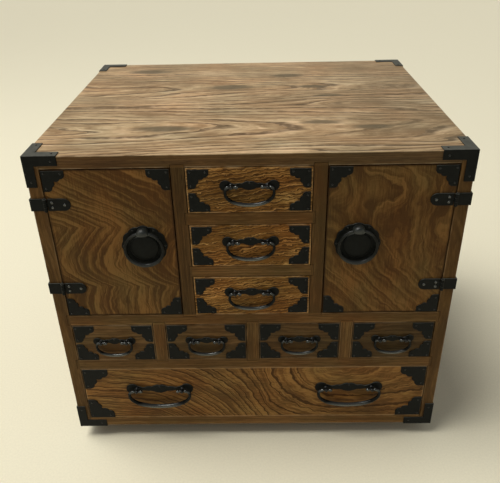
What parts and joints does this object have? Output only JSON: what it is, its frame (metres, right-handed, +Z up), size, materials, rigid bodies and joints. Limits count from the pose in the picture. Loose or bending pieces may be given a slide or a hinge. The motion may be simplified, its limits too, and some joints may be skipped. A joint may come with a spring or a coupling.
{
  "type": "sewing chest",
  "caption": "Low Japanese-style sewing chest in stained wood, with a cupboard door each side of a drawer stack, drawers below, and black iron hinges, bails and ring pulls.",
  "frame": {"origin": "on the floor, under the middle of the bounding box", "axes": "+X to the viewer's right, +Y from the front to the back, +Z up; the drawers and doors face -Y"},
  "size_m": [0.453, 0.361, 0.4],
  "materials": {
    "case_wood": "dark brown stained and wiped lacquer, satin",
    "front_wood": "figured elm-like wood, reddish brown stain, satin lacquer",
    "hidden_wood": "plain unfinished softwood",
    "black_iron": "black lacquered wrought iron, satin"
  },
  "bodies": {
    "case": {"top_board": "case_wood", "bottom_board": "case_wood", "left_side": "case_wood", "right_side": "case_wood", "back_panel": "hidden_wood", "left_divider": "case_wood", "right_divider": "case_wood", "upper_shelf": "case_wood", "lower_shelf": "case_wood", "centre_rail_1": "case_wood", "centre_rail_2": "case_wood", "small_partition_1": "case_wood", "small_partition_2": "case_wood", "small_partition_3": "case_wood", "left_runner": "case_wood", "right_runner": "case_wood", "left_door_stop": "case_wood", "right_door_stop": "case_wood", "left_upper_hinge_leaf": "black_iron", "left_lower_hinge_leaf": "black_iron", "right_upper_hinge_leaf": "black_iron", "right_lower_hinge_leaf": "black_iron"},
    "left_door": {"left_door": "front_wood", "left_upper_hinge_strap": "black_iron", "left_lower_hinge_strap": "black_iron", "left_ring_plate": "black_iron"},
    "left_ring": {"left_ring": "black_iron"},
    "right_door": {"right_door": "front_wood", "right_upper_hinge_strap": "black_iron", "right_lower_hinge_strap": "black_iron", "right_ring_plate": "black_iron"},
    "right_ring": {"right_ring": "black_iron"},
    "centre_drawer_1": {"centre_drawer_1": "front_wood", "centre_drawer_1_handle_plate": "black_iron"},
    "centre_drawer_1_bail": {"centre_drawer_1_handle_bail": "black_iron"},
    "centre_drawer_2": {"centre_drawer_2": "front_wood", "centre_drawer_2_handle_plate": "black_iron"},
    "centre_drawer_2_bail": {"centre_drawer_2_handle_bail": "black_iron"},
    "centre_drawer_3": {"centre_drawer_3": "front_wood", "centre_drawer_3_handle_plate": "black_iron"},
    "centre_drawer_3_bail": {"centre_drawer_3_handle_bail": "black_iron"},
    "small_drawer_1": {"small_drawer_1": "front_wood", "small_drawer_1_handle_plate": "black_iron"},
    "small_drawer_1_bail": {"small_drawer_1_handle_bail": "black_iron"},
    "small_drawer_2": {"small_drawer_2": "front_wood", "small_drawer_2_handle_plate": "black_iron"},
    "small_drawer_2_bail": {"small_drawer_2_handle_bail": "black_iron"},
    "small_drawer_3": {"small_drawer_3": "front_wood", "small_drawer_3_handle_plate": "black_iron"},
    "small_drawer_3_bail": {"small_drawer_3_handle_bail": "black_iron"},
    "small_drawer_4": {"small_drawer_4": "front_wood", "small_drawer_4_handle_plate": "black_iron"},
    "small_drawer_4_bail": {"small_drawer_4_handle_bail": "black_iron"},
    "bottom_drawer": {"bottom_drawer": "front_wood", "bottom_drawer_left_handle_plate": "black_iron", "bottom_drawer_right_handle_plate": "black_iron"},
    "bottom_drawer_left_bail": {"bottom_drawer_left_handle_bail": "black_iron"},
    "bottom_drawer_right_bail": {"bottom_drawer_right_handle_bail": "black_iron"}
  },
  "joints": [
    {"name": "left_door_hinge", "type": "hinge", "parent": "case", "child": "left_door", "pos_m": [-0.2105, -0.1718, 0.293], "axis": [0, 0, -1], "range_deg": [0, 170]},
    {"name": "right_door_hinge", "type": "hinge", "parent": "case", "child": "right_door", "pos_m": [0.2105, -0.1718, 0.293], "axis": [0, 0, 1], "range_deg": [0, 170]},
    {"name": "left_ring_swing", "type": "hinge", "parent": "left_door", "child": "left_ring", "pos_m": [-0.1135, -0.1753, 0.31199], "axis": [-1, 0, 0], "range_deg": [-2, 110]},
    {"name": "right_ring_swing", "type": "hinge", "parent": "right_door", "child": "right_ring", "pos_m": [0.1135, -0.1753, 0.31199], "axis": [-1, 0, 0], "range_deg": [-2, 110]},
    {"name": "centre_drawer_1_slide", "type": "slide", "parent": "case", "child": "centre_drawer_1", "axis": [0, -1, 0], "range_m": [0, 0.25]},
    {"name": "centre_drawer_2_slide", "type": "slide", "parent": "case", "child": "centre_drawer_2", "axis": [0, -1, 0], "range_m": [0, 0.25]},
    {"name": "centre_drawer_3_slide", "type": "slide", "parent": "case", "child": "centre_drawer_3", "axis": [0, -1, 0], "range_m": [0, 0.25]},
    {"name": "small_drawer_1_slide", "type": "slide", "parent": "case", "child": "small_drawer_1", "axis": [0, -1, 0], "range_m": [0, 0.25]},
    {"name": "small_drawer_2_slide", "type": "slide", "parent": "case", "child": "small_drawer_2", "axis": [0, -1, 0], "range_m": [0, 0.25]},
    {"name": "small_drawer_3_slide", "type": "slide", "parent": "case", "child": "small_drawer_3", "axis": [0, -1, 0], "range_m": [0, 0.25]},
    {"name": "small_drawer_4_slide", "type": "slide", "parent": "case", "child": "small_drawer_4", "axis": [0, -1, 0], "range_m": [0, 0.25]},
    {"name": "bottom_drawer_slide", "type": "slide", "parent": "case", "child": "bottom_drawer", "axis": [0, -1, 0], "range_m": [0, 0.25]},
    {"name": "centre_drawer_1_bail_swing", "type": "hinge", "parent": "centre_drawer_1", "child": "centre_drawer_1_bail", "pos_m": [0, -0.174, 0.36517], "axis": [-1, 0, 0], "range_deg": [-4, 110]},
    {"name": "centre_drawer_2_bail_swing", "type": "hinge", "parent": "centre_drawer_2", "child": "centre_drawer_2_bail", "pos_m": [0, -0.174, 0.2985], "axis": [-1, 0, 0], "range_deg": [-4, 110]},
    {"name": "centre_drawer_3_bail_swing", "type": "hinge", "parent": "centre_drawer_3", "child": "centre_drawer_3_bail", "pos_m": [0, -0.174, 0.23183], "axis": [-1, 0, 0], "range_deg": [-4, 110]},
    {"name": "small_drawer_1_bail_swing", "type": "hinge", "parent": "small_drawer_1", "child": "small_drawer_1_bail", "pos_m": [-0.1635, -0.1737, 0.162], "axis": [-1, 0, 0], "range_deg": [-4, 110]},
    {"name": "small_drawer_2_bail_swing", "type": "hinge", "parent": "small_drawer_2", "child": "small_drawer_2_bail", "pos_m": [-0.0545, -0.1737, 0.162], "axis": [-1, 0, 0], "range_deg": [-4, 110]},
    {"name": "small_drawer_3_bail_swing", "type": "hinge", "parent": "small_drawer_3", "child": "small_drawer_3_bail", "pos_m": [0.0545, -0.1737, 0.162], "axis": [-1, 0, 0], "range_deg": [-4, 110]},
    {"name": "small_drawer_4_bail_swing", "type": "hinge", "parent": "small_drawer_4", "child": "small_drawer_4_bail", "pos_m": [0.1635, -0.1737, 0.162], "axis": [-1, 0, 0], "range_deg": [-4, 110]},
    {"name": "bottom_drawer_left_bail_swing", "type": "hinge", "parent": "bottom_drawer", "child": "bottom_drawer_left_bail", "pos_m": [-0.117, -0.175, 0.0845], "axis": [-1, 0, 0], "range_deg": [-4, 110]},
    {"name": "bottom_drawer_right_bail_swing", "type": "hinge", "parent": "bottom_drawer", "child": "bottom_drawer_right_bail", "pos_m": [0.117, -0.175, 0.0845], "axis": [-1, 0, 0], "range_deg": [-4, 110]}
  ]
}
